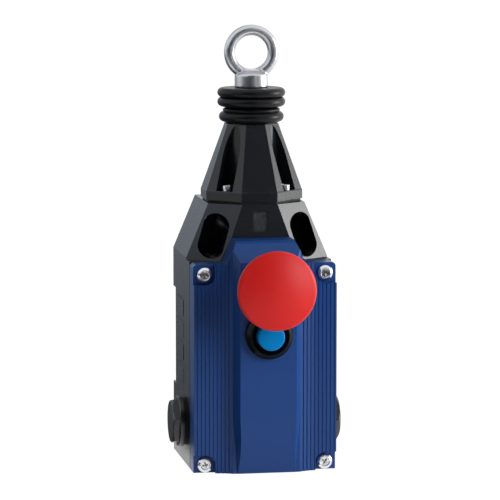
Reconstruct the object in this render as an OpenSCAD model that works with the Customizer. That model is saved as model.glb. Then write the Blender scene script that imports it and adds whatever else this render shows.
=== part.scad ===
// Rope pull switch: a spring-loaded pull rod in a slotted hood opens the contacts,
// a mushroom button stops by hand, and a small button resets.
// Frame: the origin lies on the pull axis at the foot of the housing, +Z along the pull,
// the front faces -Y. Millimetres.

/* [Housing] */
// Width of the housing across its straight sides
housing_w = 74; // [71:0.5:76]
// Height of the straight sides
side_h = 108.5; // [106:0.5:111]
// Distance from the pull axis back to the mounting face
rear_y = 29.5; // [28:0.5:34]
// Distance from the pull axis forward to the joint with the cover
joint_d = 28; // [27:0.5:30]
// Thickness of the housing walls
wall = 3.5; // [3:0.1:4]
// Height of the shoulder top, where the hood stands
shoulder_z = 136.3; // [135:0.1:138]
// Half width of the shoulder at its top
shoulder_half_w = 25.3; // [24.5:0.1:26]
// Radius of the oblong screw pockets
pocket_r = 6.1; // [5.5:0.1:6.3]
// Radius of the four fixing holes in the mounting face
fixing_r = 2.75; // [2.2:0.05:3.2]

/* [Cover] */
// Distance from the pull axis forward to the ribbed flanks
flank_d = 43.5; // [42:0.5:45]
// Distance from the pull axis forward to the raised flat
flat_d = 52; // [50:0.5:54]
// Half width of the raised flat
flat_half_w = 14.5; // [14:0.1:15]
// Spacing of the ribs
rib_pitch = 2.05; // [1.9:0.05:2.4]
// Depth of the grooves between the ribs
groove_depth = 0.4; // [0.2:0.1:0.8]

/* [Hood and rod] */
// Half width across flats of the hood at its base band
hood_foot = 25.3; // [25:0.1:25.5]
// Half width across flats of the hood at its top
hood_head = 13.4; // [13.3:0.1:14]
// Height of the hood top
hood_z = 176.4; // [175:0.1:178]
// Radius of the pull rod
rod_r = 4; // [3.5:0.1:4.5]
// Outer radius of the eye ring
eye_r = 14.4; // [13:0.1:16]
// Radius of the bar that the ring is bent from
eye_bar_r = 2.9; // [2.4:0.1:3.2]

/* [Buttons] */
// Radius of the mushroom button
mushroom_r = 20.2; // [18:0.1:21]
// Height of the mushroom axis
mushroom_z = 98; // [97:0.5:99]
// Height of the reset axis
reset_z = 72.3; // [71:0.1:73]
// Radius of the reset button
reset_r = 7.5; // [7:0.1:8]

/* [Hidden] */
$fn = 64;
eps = 0.01;
fit = 0.05;             // radial clearance of a running fit
far = 200;              // reach of a cutting tool

half_w = housing_w / 2;
joint_y = -joint_d;
flank_y = -flank_d;
flat_y = -flat_d;

// shoulder: the nose is the narrow front facet, the corner facets carry the pockets
nose_top = [9.2, -26.5, shoulder_z];
nose_low = [15.1, joint_y, 119.6];
corner_top = [shoulder_half_w, -15.5, shoulder_z];
nose_lean = atan((nose_top[1] - nose_low[1]) / (nose_top[2] - nose_low[2]));
ceiling_z = side_h - 4;
attic_half_w = 13;
attic_top = shoulder_z - 3.8;

// oblong pockets and the fixing holes behind them
pocket_top = [21.9, 125.4];
pocket_foot = [25.2, 114.7];
foot_t = 6;
fixing_x = 22.5;
fixing_low_z = 14;
fixing_high_z = 126;

// cable entries
entry_r = 10;
entry_y = -8;
entry_z = 21.5;
panel_depth = 1.2;
seal_t = 1.2;
plug_flange_r = 13.2;
plug_head_r = 12.6;
plug_head_h = 6.1;

// cover
gasket_t = 1;
gasket_inset = 0.2;
cover_y = joint_y - gasket_t;
cover_top = side_h - 1;
cover_t = 3;
screw_x = 31.2;
screw_low_z = 4.3;
screw_high_z = 102.3;
screw_seat_y = -40.2;
seat_r = 5.1;
m4_r = 2;
boss = 12;
corner_r = 2;
ease_h = 28;            // height over which the raised centre eases back at its foot
ease_d = 5.5;
ease_r = (ease_h * ease_h + ease_d * ease_d) / (2 * ease_d);
foot_draw = 2.3;        // how far its sides draw in at the foot
slope_w = 3;            // width of its sloping sides
crest = 2.5;            // rise of the flanks towards it
ramp_x = 27;            // where that rise begins

// hood
hood_gasket_t = 1.2;
hood_base_z = shoulder_z + hood_gasket_t;
band_z = 142.4;
hood_plate = 4;
hood_screw_r = 21;
hood_screw_l = 10.5;
hood_cut = 0.968;       // distance of the corner facets, as a share of the others'
spring_bore_r = 10.8;
spring_tube_t = 2;

// rod
clip_z = 137.85;
clip_t = 1.2;
spring_plate_z = clip_z + clip_t;
spring_plate_t = 2.5;
neck_z = 194.9;
neck_r = 8.7;
eye_z = 213.2;

// works
carrier_y = 17;
carrier_t = 3;
block_low = 64;
block_high = 94;
plunger_z = 79;
cam_low = 64;
cam_high = 86;
cam_slope = 0.2;
cam_half = 5;
plunger_r = 3;
lever_z = 60;
lever_y = -14;
thread_r = 9;
recess = 0.55;          // reach of a cross recess, as a share of the screw head

// ---------- helpers ----------

// an outline in X and Z, extruded from y0 back to y1
module prism_y(y0, y1) {
    translate([0, y1, 0])
        rotate([90, 0, 0])
            linear_extrude(y1 - y0)
                children();
}

// an outline in Y and Z, extruded from x0 to x1
module prism_x(x0, x1) {
    translate([x0, 0, 0])
        rotate([90, 0, 90])
            linear_extrude(x1 - x0)
                children();
}

// a round bar or hole along Y from y0 to y1
module bar_y(x, z, y0, y1, r) {
    translate([x, y1, z])
        rotate([90, 0, 0])
            cylinder(r = r, h = y1 - y0);
}

// a round bar or hole along X from x0 to x1
module bar_x(y, z, x0, x1, r) {
    translate([x0, y, z])
        rotate([0, 90, 0])
            cylinder(r = r, h = x1 - x0);
}

// a tube on the pull axis
module tube(z0, z1, r_out, r_in) {
    translate([0, 0, z0])
        difference() {
            cylinder(r = r_out, h = z1 - z0);
            translate([0, 0, -1])
                cylinder(r = r_in, h = z1 - z0 + 2);
        }
}

// everything beyond the plane through p with the outward normal n
module beyond(p, n) {
    translate(p)
        rotate([0, acos(n[2] / norm(n)), atan2(n[1], n[0])])
            translate([-far, -far, 0])
                cube([2 * far, 2 * far, far]);
}

// both sides of the middle plane
module both_sides() {
    children();
    mirror([1, 0, 0])
        children();
}

// local z points out of the raised flat, at height z on the middle plane
module on_flat(z) {
    translate([0, flat_y, z])
        rotate([90, 0, 0])
            children();
}

// an outline made of a right half and its mirror image
function two_halves(points) =
    concat(points, [for (i = [len(points) - 1:-1:0]) [-points[i][0], points[i][1]]]);

// a slot outline between two points
module slot_outline(a, b, r) {
    hull()
        for (p = [a, b])
            translate(p)
                circle(r = r, $fn = 48);
}

// ---------- housing ----------

module housing_body() {
    difference() {
        prism_y(joint_y, rear_y)
            polygon([
                [-half_w, 0], [half_w, 0], [half_w, side_h], [shoulder_half_w, shoulder_z],
                [-shoulder_half_w, shoulder_z], [-half_w, side_h]
            ]);
        both_sides()
            intersection() {
                beyond(corner_top, cross(nose_top - corner_top, nose_low - nose_top));
                translate([0, -far, cover_top])
                    cube([far, 2 * far, far]);
            }
        beyond([0, joint_y, nose_low[2]], [0, -cos(nose_lean), sin(nose_lean)]);
    }
}

// local y runs into the nose, local z up its face, from the foot of the nose
module on_nose() {
    translate([0, joint_y, nose_low[2]])
        rotate([-nose_lean, 0, 0])
            children();
}

module housing_hollow() {
    difference() {
        translate([-half_w + wall, joint_y - 1, wall])
            cube([housing_w - 2 * wall, rear_y - wall - joint_y + 1, ceiling_z - wall]);
        both_sides() {
            for (z = [0, ceiling_z - 6])
                translate([half_w - boss, joint_y - 1, z])
                    cube([boss, 21, boss]);
            bar_y(fixing_x, fixing_low_z, rear_y - foot_t, rear_y, 6.5);
            for (z = [57, 99])
                bar_y(22, z, carrier_y + carrier_t, rear_y, 4.5);
        }
        bar_y(0, 22, 22, rear_y, 5);
    }
    translate([-attic_half_w, joint_y + 3, ceiling_z - 1])
        cube([2 * attic_half_w, rear_y - wall - joint_y - 3, attic_top - ceiling_z + 1]);
}

// the recessed panel of a side, with plain raised pads in it
module side_panel() {
    difference() {
        translate([half_w - panel_depth, -8, 37])
            cube([panel_depth + 1, rear_y + 9, 51]);
        for (i = [0:3])
            translate([half_w - panel_depth - 1, -4 + 1.2 * (i % 2), 41 + 11.6 * i])
                cube([panel_depth + 0.6, 26, 8.4]);
    }
}

module housing() {
    color("dimgray")
        difference() {
            housing_body();
            housing_hollow();
            both_sides() {
                prism_y(-far, rear_y - foot_t)
                    slot_outline(pocket_top, pocket_foot, pocket_r);
                bar_x(entry_y, entry_z, half_w - 2 * wall, half_w + 1, entry_r);
                for (z = [screw_low_z, screw_high_z])
                    bar_y(screw_x, z, joint_y - 1, joint_y + 15, m4_r);
                for (z = [fixing_low_z, fixing_high_z])
                    bar_y(fixing_x, z, rear_y - foot_t - 1, rear_y + 1, fixing_r);
                for (z = [57, 99])
                    bar_y(22, z, carrier_y, rear_y - wall, m4_r);
                side_panel();
            }
            bar_y(0, 22, 21, 28, m4_r);
            translate([0, 0, attic_top - 1])
                cylinder(r = 7, h = 6);
            for (turn = [45:90:315])
                rotate(turn)
                    translate([hood_screw_r, 0, shoulder_z - 7])
                        cylinder(r = 1.5, h = 8);
            on_nose() {
                translate([-3.6, -1, 2.9])
                    cube([7.2, 2.8, 10.2]);
                translate([-2.6, -1, 3.9])
                    cube([5.2, 8, 8.2]);
            }
        }
}

module indicator_window() {
    color("slategray", 0.7)
        on_nose()
            translate([-3.55, 0.3, 2.95])
                cube([7.1, 1.5, 10.1]);
}

// ---------- cover ----------

// forward reach of the cover at a distance x from the middle
function reach(x) =
    x >= ramp_x ? flank_d : flank_d + crest * pow((ramp_x - x) / (ramp_x - flat_half_w - slope_w), 2);

rib_count = floor((half_w - 1 - flat_half_w - slope_w) / rib_pitch);

// one groove and the rib beside it, seen from above
function rib(i) =
    let (x0 = half_w - 1 - i * rib_pitch, x1 = x0 - 0.8)
    [[x0, -reach(x0)], [x0 - 0.1, -reach(x0) + groove_depth],
     [x1 + 0.1, -reach(x1) + groove_depth], [x1, -reach(x1)]];

half_section = [
    [half_w, -reach(half_w)],
    for (i = [0:rib_count - 1]) each rib(i),
    [flat_half_w + slope_w, -flank_d - crest],
    [flat_half_w, -flat_d]
];

module cover_section() {
    polygon(two_halves(concat([[half_w, cover_y]], half_section)));
}

// front outline of the joint between housing and cover, drawn in by an inset
module joint_outline(inset) {
    step = inset * 0.9;
    corner = [half_w - inset - corner_r, cover_top - inset - corner_r];
    polygon(two_halves([
        [half_w - inset, inset],
        for (a = [0:15:90]) corner + corner_r * [cos(a), sin(a)],
        [20.8 - step, cover_top - inset], [nose_low[0] - step, nose_low[2] - inset]
    ]));
}

// side view of the raised centre: bevelled at the top, easing back at the foot
module cover_profile() {
    difference() {
        polygon([
            [cover_y, 0], [cover_y, nose_low[2]], [flank_y + 0.5, nose_low[2]],
            [flank_y, nose_low[2] - 1.2], [flat_y, 109.5], [flat_y, 0]
        ]);
        difference() {
            translate([flat_y - 1, -1])
                square([ease_d + 2, ease_h + 1]);
            translate([flat_y + ease_r, ease_h])
                circle(r = ease_r, $fn = 720);
        }
    }
}

// seat of a cover screw at height z: rounded inwards, open to the side and past end_z
module screw_seat(z, end_z) {
    lean = z > end_z ? 1 : -1;
    prism_y(flank_y - 8, screw_seat_y)
        polygon(concat(
            [[half_w + 1, end_z], [half_w + 1, z + lean * seat_r]],
            [for (a = [90:5:180]) [screw_x + seat_r * cos(a), z + lean * seat_r * sin(a)]],
            [[screw_x - seat_r, end_z]]
        ));
}

// what is left open beside the raised centre, where its sides draw in at the foot
module foot_relief() {
    edge = [flat_half_w + slope_w, -flank_d - crest, ease_h];
    run = [-slope_w, flank_d + crest - flat_d, 0];
    intersection() {
        beyond(edge, cross(run, [-foot_draw, 0, -ease_h]));
        translate([flat_half_w - slope_w, flat_y - 1, -1])
            cube([far, flat_d + 1 - flank_d - crest - 0.2, ease_h + 3]);
    }
}

module front_cover() {
    color("midnightblue")
        difference() {
            intersection() {
                prism_y(flat_y - 1, cover_y)
                    joint_outline(0);
                linear_extrude(nose_low[2])
                    cover_section();
                prism_x(-half_w, half_w)
                    cover_profile();
            }
            difference() {
                translate([-half_w + cover_t, flank_y + cover_t, wall])
                    cube([housing_w - 2 * cover_t, cover_y - flank_y - cover_t + 1, ceiling_z - wall]);
                both_sides()
                    for (z = [0, ceiling_z - 9.5])
                        translate([half_w - boss, flank_y, z])
                            cube([boss, 20, boss + 2]);
            }
            translate([0, 0, ease_h])
                linear_extrude(ceiling_z - ease_h)
                    polygon(two_halves([
                        [flat_half_w + 2, cover_y + 1], [flat_half_w + 2, flank_y + cover_t],
                        [flat_half_w - 3, flat_y + 3.5]
                    ]));
            both_sides() {
                foot_relief();
                screw_seat(screw_low_z, -1);
                screw_seat(screw_high_z, cover_top + 1);
                for (z = [screw_low_z, screw_high_z])
                    bar_y(screw_x, z, screw_seat_y - 1, cover_y + 1, m4_r + 0.2);
            }
            translate([-11.3, flat_y + 3.5, ceiling_z - 2])
                cube([22.6, 8, mushroom_z + 13.1 - ceiling_z + 2]);
            for (z = [mushroom_z, reset_z])
                bar_y(0, z, flat_y - 1, cover_y, thread_r + 0.1);
        }
}

module cover_gasket() {
    color("black")
        difference() {
            prism_y(cover_y, joint_y)
                joint_outline(gasket_inset);
            translate([-half_w + wall, cover_y - 1, wall])
                cube([housing_w - 2 * wall, 3, ceiling_z - wall - 0.5]);
            both_sides()
                for (z = [screw_low_z, screw_high_z])
                    bar_y(screw_x, z, cover_y - 1, joint_y + 1, m4_r + 0.2);
        }
}

// a pan-head screw along Y, its head's underside at y, pointing back
module pan_screw(x, z, y, head_r, head_h, r, length) {
    bar_y(x, z, y - eps, y + length, r);
    translate([x, y, z])
        rotate([90, 0, 0])
            difference() {
                rotate_extrude()
                    intersection() {
                        translate([0, head_h - 1.6 * head_r])
                            circle(r = 1.6 * head_r);
                        square([head_r, head_h]);
                    }
                for (turn = [45, 135])
                    rotate(turn)
                        translate([-recess * head_r, -0.11 * head_r, 0.35 * head_h])
                            cube([2 * recess * head_r, 0.22 * head_r, head_h]);
            }
}

module cover_screws() {
    color("silver")
        both_sides()
            for (z = [screw_low_z, screw_high_z])
                pan_screw(screw_x, z, screw_seat_y, 4, 2.8, m4_r - fit, 23);
}

// ---------- hood ----------

// a solid of eight sides round the pull axis, from a half profile of [r, z] points
module octagon(profile) {
    intersection_for (turn = [0:45:135])
        rotate(turn)
            prism_y(-far / 2, far / 2)
                polygon(two_halves([
                    for (p = profile) [(turn % 90 == 0 ? 1 : hood_cut) * p[0], p[1]]
                ]));
}

hood_profile = [
    [hood_foot, hood_base_z], [hood_foot, band_z - 0.4], [hood_foot - 0.3, band_z + 0.2],
    [hood_head, hood_z]
];

// three-centred arch of a slot, drawn from its floor: long side arcs and a small crown
slot_w = 5.2;
neck = 17;              // height at which the sides begin to lean in
side_r = 38;
crown_r = 2.4;
crown_h = sqrt(pow(side_r - crown_r, 2) - pow(side_r - slot_w, 2));
side_lean = atan(crown_h / (side_r - slot_w));
half_arch = [
    [slot_w, 0],
    for (i = [0:8]) let (a = side_lean * i / 8)
        [slot_w - side_r + side_r * cos(a), neck + side_r * sin(a)],
    for (i = [1:12]) let (a = side_lean + (90 - side_lean) * i / 13)
        [crown_r * cos(a), neck + crown_h + crown_r * sin(a)]
];

module spring_hood() {
    color("dimgray")
        difference() {
            octagon(hood_profile);
            translate([0, 0, hood_base_z - 1])
                cylinder(r = spring_bore_r, h = hood_z - hood_plate - hood_base_z + 1);
            translate([0, 0, hood_z - hood_plate - 1])
                cylinder(r = 7, h = hood_plate + 2);
            for (turn = [45:90:315])
                rotate(turn) {
                    translate([0, -spring_bore_r - spring_tube_t, band_z])
                        prism_y(-20, 0)
                            polygon(two_halves(half_arch));
                    translate([0, -hood_screw_r, hood_base_z - 1])
                        cylinder(r = 1.6, h = band_z - hood_base_z + 2);
                }
        }
}

module hood_gasket() {
    color("black")
        difference() {
            octagon([[hood_foot - 0.9, shoulder_z], [hood_foot - 0.9, hood_base_z]]);
            translate([0, 0, shoulder_z - 1])
                cylinder(r = 13.5, h = 4);
            for (turn = [45:90:315])
                rotate(turn)
                    translate([0, -hood_screw_r, shoulder_z - 1])
                        cylinder(r = 1.6, h = 4);
        }
}

module hood_screws() {
    color("silver")
        for (turn = [45:90:315])
            rotate(turn)
                translate([0, -hood_screw_r, band_z]) {
                    translate([0, 0, -hood_screw_l])
                        cylinder(r = 1.5 - fit, h = hood_screw_l + eps);
                    difference() {
                        cylinder(r = 2.75, h = 3);
                        translate([0, 0, 1.4])
                            cylinder(r = 1.44, h = 3, $fn = 6);
                    }
                }
}

module hood_bush() {
    color("ivory") {
        tube(hood_z - hood_plate - 3, hood_z, 7, rod_r + fit);
    }
}

module rod_bush() {
    color("ivory") {
        tube(attic_top - 1.5, shoulder_z + 1, 7, rod_r + fit);
        tube(shoulder_z, shoulder_z + 1.5, 10, rod_r + fit);
    }
}

// ---------- cable entries ----------

// a plug with a hexagon head, screwed home to the angle given
module entry_plug(turn) {
    difference() {
        translate([half_w + seal_t, entry_y, entry_z])
            rotate([0, 90, 0]) {
                rotate_extrude()
                    polygon([
                        [0, -7.7], [entry_r - fit, -7.7], [entry_r - fit, 0], [plug_flange_r, 0],
                        [plug_flange_r, 2.4], [plug_flange_r - 0.3, 2.7], [0, 2.7]
                    ]);
                intersection() {
                    translate([0, 0, 2])
                        rotate(turn)
                            cylinder(r = plug_head_r, h = 8, $fn = 6);
                    rotate_extrude()
                        polygon([[0, 1], [13.5, 1], [13.5, 4.8], [11.2, plug_head_h], [0, plug_head_h]]);
                }
            }
        bar_x(entry_y, entry_z, half_w - 8, half_w - 1, 7.5);
    }
}

module right_entry_plug() {
    color("black")
        entry_plug(30);
}

module left_entry_plug() {
    color("black")
        mirror([1, 0, 0])
            entry_plug(17);
}

module plug_seals() {
    color("black")
        both_sides()
            difference() {
                bar_x(entry_y, entry_z, half_w, half_w + seal_t, 12.4);
                bar_x(entry_y, entry_z, half_w - 1, half_w + 3, entry_r);
            }
}

// ---------- works inside ----------

module mechanism_carrier() {
    color("darkgray")
        difference() {
            union() {
                translate([-30, carrier_y, 50])
                    cube([60, carrier_t, 54]);
                translate([-9, -18, 56])
                    cube([18, carrier_y + 18 + 1, 4]);
                both_sides()
                    translate([3.5, -18, 56])
                        cube([5.5, 9, 8]);
            }
            translate([-3.5, -19, 50])
                cube([7, 11, 20]);
            translate([0, 0, 50])
                cylinder(r = rod_r + fit, h = 20);
            bar_x(lever_y, lever_z, -20, 20, 1.5);
            both_sides() {
                for (z = [57, 99])
                    bar_y(22, z, carrier_y - 1, carrier_y + 5, m4_r + 0.2);
                for (z = [block_low + 3, block_high - 3])
                    bar_y(28, z, carrier_y - 1, carrier_y + 5, 1.5);
            }
        }
}

module carrier_screws() {
    color("silver")
        both_sides()
            for (z = [57, 99])
                pan_screw(22, z, carrier_y, 3.6, 2.4, m4_r - fit, 8);
}

module contact_block() {
    difference() {
        translate([12.5, -13, block_low])
            cube([18.5, 30, block_high - block_low]);
        bar_x(0, plunger_z, 12, 22, plunger_r + fit);
        translate([20, -9, plunger_z - 6])
            cube([12, 18, 12]);
        for (x = [15.5, 21.5])
            for (z = [block_low + 4, block_high - 4])
                bar_y(x, z, -14, -7, 1.5);
        for (z = [block_low + 3, block_high - 3])
            bar_y(28, z, -14, 18, 1.6);
    }
}

module right_contact_block() {
    color("gainsboro")
        contact_block();
}

module left_contact_block() {
    color("gainsboro")
        mirror([1, 0, 0])
            contact_block();
}

module block_screws() {
    color("silver")
        both_sides()
            for (z = [block_low + 3, block_high - 3])
                pan_screw(28, z, -13, 2.3, 1.6, 1.5 - fit, 32);
}

module terminal_screws() {
    color("goldenrod")
        both_sides()
            for (x = [15.5, 21.5])
                for (z = [block_low + 4, block_high - 4])
                    pan_screw(x, z, -13, 2.2, 1.4, 1.5 - fit, 5.5);
}

module fixed_contacts() {
    color("goldenrod")
        both_sides()
            for (y = [-8.9, 5.4])
                translate([20, y, plunger_z - 2])
                    cube([1.7, 3.5, 4]);
}

// block behind the mushroom, clipped on the back of its sleeve
module stop_contact_block() {
    color("gainsboro")
        difference() {
            translate([-11, -39.9, mushroom_z - 10])
                cube([22, 18, 15.9]);
            bar_y(0, mushroom_z, -41, -29, plunger_r + fit);
            translate([-9, -30, mushroom_z - 4])
                cube([18, 9, 8]);
        }
}

module earth_screw() {
    color("goldenrod") {
        pan_screw(0, 22, 20.4, 3.8, 2.4, m4_r - fit, 7.2);
        difference() {
            translate([-5, 20.4, 17])
                cube([10, 1.6, 10]);
            bar_y(0, 22, 20, 23, m4_r - fit - eps);
        }
    }
}

module lever_pin() {
    color("silver")
        bar_x(lever_y, lever_z, -9.5, 9.5, 1.5);
}

// ---------- buttons ----------

// sleeve or bezel: a flange on the cover, a threaded neck through it, a bored end wall
module panel_bush(profile, bore_r, bore_floor) {
    difference() {
        union() {
            rotate_extrude()
                polygon(profile);
            translate([0, 0, -12])
                cylinder(r = thread_r, h = 12 + eps);
        }
        translate([0, 0, bore_floor])
            cylinder(r = bore_r, h = 40);
        translate([0, 0, -20])
            cylinder(r = plunger_r + fit, h = 40);
    }
}

module panel_nut() {
    translate([0, 0, -8])
        difference() {
            rotate(30)
                cylinder(r = 12.6, h = 4.5, $fn = 6);
            translate([0, 0, -1])
                cylinder(r = thread_r + fit, h = 10);
        }
}

module stop_sleeve() {
    color("black")
        on_flat(mushroom_z)
            panel_bush([[0, 0], [12, 0], [12, 6.5], [11, 8.5], [0, 8.5]], 7 + fit, -6);
}

module stop_nut() {
    color("silver")
        on_flat(mushroom_z)
            panel_nut();
}

module reset_bezel() {
    color("black")
        on_flat(reset_z)
            panel_bush([[0, 0], [12.1, 0], [12.1, 3.2], [11.6, 4.2], [10.4, 5.6], [9.6, 6], [0, 6]],
                       reset_r + 0.9, -7);
}

module reset_nut() {
    color("silver")
        on_flat(reset_z)
            panel_nut();
}

rim_r = 2.4;
rim_at = mushroom_r - rim_r;
rim_z = 24;
dome_h = 3.4;
dome_r = (rim_at * rim_at + dome_h * dome_h) / (2 * dome_h);
function dome(r) = rim_z + rim_r + dome_h - dome_r + sqrt(dome_r * dome_r - r * r);

module stop_button() {
    color("red")
        on_flat(mushroom_z)
            difference() {
                rotate_extrude($fn = 96) {
                    translate([rim_at, rim_z])
                        circle(r = rim_r, $fn = 48);
                    polygon(concat(
                        [for (i = [0:20]) let (r = (rim_at + 0.5) * i / 20) [r, dome(r)]],
                        [[rim_at, rim_z - rim_r + 0.6], [12, 18], [7, 16.5], [7, 0], [0, 0]]
                    ));
                }
                translate([0, 0, -1])
                    cylinder(r = plunger_r, h = 9);
            }
}

module stop_stem() {
    color("silver")
        bar_y(0, mushroom_z, flat_y - 8, -29, plunger_r);
}

module stop_bridge() {
    color("goldenrod")
        translate([-8, -29, mushroom_z - 2])
            cube([16, 1, 4]);
}

module reset_button() {
    color("deepskyblue")
        on_flat(reset_z)
            difference() {
                rotate_extrude() {
                    square([reset_r, 8.7]);
                    square([reset_r - 0.8, 9.5]);
                    translate([reset_r - 0.8, 8.7])
                        circle(r = 0.8, $fn = 32);
                }
                translate([0, 0, -1])
                    cylinder(r = plunger_r, h = 6);
            }
}

module reset_stem() {
    color("silver") {
        bar_y(0, reset_z, flat_y - 5, -20.4, plunger_r);
        translate([0, -20.4, reset_z])
            sphere(r = plunger_r);
    }
}

module reset_lever() {
    color("darkgray")
        difference() {
            union() {
                translate([-3, -17, 43])
                    cube([6, 6, 33]);
                translate([-3, -12, 43])
                    cube([6, 5.6, 3.5]);
            }
            bar_x(lever_y, lever_z, -4, 4, 1.5 + fit);
        }
}

// ---------- pull rod and what rides on it ----------

// centre radius, height and roundness of each ring of the bellows
bellows_rings = [[15.2, 192.4, 2.5], [15.2, 187.6, 2.5], [14.2, 179.9, 2.7], [13.9, 183.3, 1]];

module bellows() {
    color("black")
        rotate_extrude()
            difference() {
                union() {
                    translate([9, hood_z])
                        square([5, neck_z - 1.2 - hood_z]);
                    translate([rod_r + 0.3, neck_z - 1.8])
                        square([11, 1.8]);
                    for (ring = bellows_rings)
                        translate([ring[0], ring[1]])
                            circle(r = ring[2], $fn = 32);
                }
                for (z = [179.9, 187.6])
                    translate([9, z])
                        circle(r = 2.6, $fn = 32);
            }
}

wire_r = 1.2;
coil_r = 9;
coil_low = spring_plate_z + spring_plate_t + wire_r + 0.05;
coil_high = hood_z - hood_plate - wire_r - 0.05;
coil_turns = 6;
coil_steps = 22;
wire_sides = 8;

// centre of the wire after a share t of its length: closed end turns, even pitch between
function coil_z(t) =
    let (s = t * coil_turns, rise = (coil_high - coil_low) / (coil_turns - 1.5))
    s < 0.75 ? coil_low : s > coil_turns - 0.75 ? coil_high : coil_low + rise * (s - 0.75);
function wire_point(t, a) =
    let (turn = 360 * coil_turns * t, r = coil_r + wire_r * cos(a))
    [r * cos(turn), r * sin(turn), coil_z(t) + wire_r * sin(a)];

module main_spring() {
    rings = coil_turns * coil_steps;
    points = [for (i = [0:rings]) for (j = [0:wire_sides - 1]) wire_point(i / rings, 360 * j / wire_sides)];
    sides = [
        for (i = [0:rings - 1]) for (j = [0:wire_sides - 1])
            let (k = (j + 1) % wire_sides)
            [i * wire_sides + j, (i + 1) * wire_sides + j, (i + 1) * wire_sides + k, i * wire_sides + k]
    ];
    first = [for (j = [0:wire_sides - 1]) j];
    last = [for (j = [wire_sides - 1:-1:0]) rings * wire_sides + j];
    color("silver")
        polyhedron(points, concat(sides, [first], [last]));
}

module pull_eye() {
    ring_r = eye_r - eye_bar_r;
    color("silver")
        difference() {
            union() {
                translate([0, 0, eye_z])
                    rotate([90, 0, 0])
                        rotate_extrude($fn = 96)
                            translate([ring_r, 0])
                                circle(r = eye_bar_r, $fn = 32);
                translate([0, 0, neck_z])
                    cylinder(r = neck_r, h = 5.6);
                translate([0, 0, neck_z + 5.6])
                    cylinder(r1 = neck_r, r2 = 4.6, h = 4);
            }
            translate([0, 0, neck_z - 1])
                cylinder(r = rod_r, h = 8);
        }
}

module eye_nut() {
    color("silver")
        translate([0, 0, neck_z - 1.8 - 5.5])
            difference() {
                cylinder(r = 7.2, h = 5.5, $fn = 6);
                translate([0, 0, -1])
                    cylinder(r = rod_r, h = 8);
            }
}

module pull_rod() {
    color("silver") {
        translate([0, 0, 39])
            cylinder(r = rod_r, h = neck_z + 7 - 39);
        translate([0, 0, 38])
            cylinder(r1 = rod_r - 1, r2 = rod_r, h = 1);
    }
}

module spring_plate() {
    color("silver")
        tube(spring_plate_z, spring_plate_z + spring_plate_t, spring_bore_r - 0.4, rod_r);
}

module plate_clip() {
    color("dimgray")
        tube(clip_z, clip_z + clip_t, 6.5, rod_r);
}

function cam_width(z) = cam_half + (cam_high - z) * cam_slope;

module switch_cam() {
    color("ivory")
        difference() {
            prism_y(-6, 6)
                polygon([
                    [-cam_width(cam_low), cam_low], [cam_width(cam_low), cam_low],
                    [cam_half, cam_high], [-cam_half, cam_high]
                ]);
            translate([0, 0, cam_low - 1])
                cylinder(r = rod_r, h = 40);
        }
}

module indicator_flag() {
    color("limegreen")
        difference() {
            union() {
                translate([0, 0, 108.5])
                    cylinder(r = 7, h = 4);
                translate([-3, -23, 109])
                    cube([6, 20, 3]);
                translate([-5, -24, 109])
                    cube([10, 1.4, 10.5]);
            }
            translate([0, 0, 100])
                cylinder(r = rod_r, h = 20);
        }
}

module latch_collar() {
    color("silver")
        tube(39, 42.5, 6, rod_r);
}

module plunger() {
    difference() {
        bar_x(0, plunger_z, 4, 27, plunger_r);
        prism_y(-10, 10)
            polygon([
                [0, cam_low], [cam_width(cam_low) + 0.3, cam_low],
                [cam_half + 0.3, cam_high], [0, cam_high]
            ]);
    }
}

module right_plunger() {
    color("firebrick")
        plunger();
}

module left_plunger() {
    color("firebrick")
        mirror([1, 0, 0])
            plunger();
}

module bridge() {
    difference() {
        translate([22, -8.5, plunger_z - 3.6])
            cube([1, 17, 7.2]);
        bar_x(0, plunger_z, 21, 24, plunger_r);
    }
}

module right_bridge() {
    color("goldenrod")
        bridge();
}

module left_bridge() {
    color("goldenrod")
        mirror([1, 0, 0])
            bridge();
}

housing();
front_cover();
cover_gasket();
cover_screws();
spring_hood();
hood_gasket();
hood_screws();
hood_bush();
rod_bush();
indicator_window();
left_entry_plug();
right_entry_plug();
plug_seals();
mechanism_carrier();
carrier_screws();
left_contact_block();
right_contact_block();
block_screws();
stop_contact_block();
fixed_contacts();
terminal_screws();
earth_screw();
lever_pin();
reset_bezel();
reset_nut();
stop_sleeve();
stop_nut();
bellows();
main_spring();
pull_eye();
eye_nut();
pull_rod();
spring_plate();
plate_clip();
switch_cam();
indicator_flag();
latch_collar();
left_plunger();
right_plunger();
left_bridge();
right_bridge();
stop_button();
stop_stem();
stop_bridge();
reset_button();
reset_stem();
reset_lever();
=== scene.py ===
import math

import bmesh
import bpy
from mathutils import Matrix, Vector


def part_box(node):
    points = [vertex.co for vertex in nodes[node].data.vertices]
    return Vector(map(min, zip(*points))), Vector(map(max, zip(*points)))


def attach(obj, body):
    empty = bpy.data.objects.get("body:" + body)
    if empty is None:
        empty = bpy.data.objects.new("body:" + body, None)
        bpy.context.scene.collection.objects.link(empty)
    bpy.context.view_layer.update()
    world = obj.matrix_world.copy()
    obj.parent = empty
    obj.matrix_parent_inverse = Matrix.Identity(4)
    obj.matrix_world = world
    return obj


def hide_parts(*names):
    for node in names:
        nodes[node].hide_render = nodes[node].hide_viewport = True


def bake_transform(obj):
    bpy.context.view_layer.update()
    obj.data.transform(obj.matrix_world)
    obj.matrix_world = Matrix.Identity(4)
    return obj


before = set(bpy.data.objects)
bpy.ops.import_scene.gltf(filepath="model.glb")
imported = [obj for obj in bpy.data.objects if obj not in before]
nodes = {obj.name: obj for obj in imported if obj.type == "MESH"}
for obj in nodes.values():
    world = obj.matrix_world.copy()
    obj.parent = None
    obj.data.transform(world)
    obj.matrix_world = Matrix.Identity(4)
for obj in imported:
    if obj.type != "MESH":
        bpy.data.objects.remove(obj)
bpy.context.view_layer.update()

mm = 0.001
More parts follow.
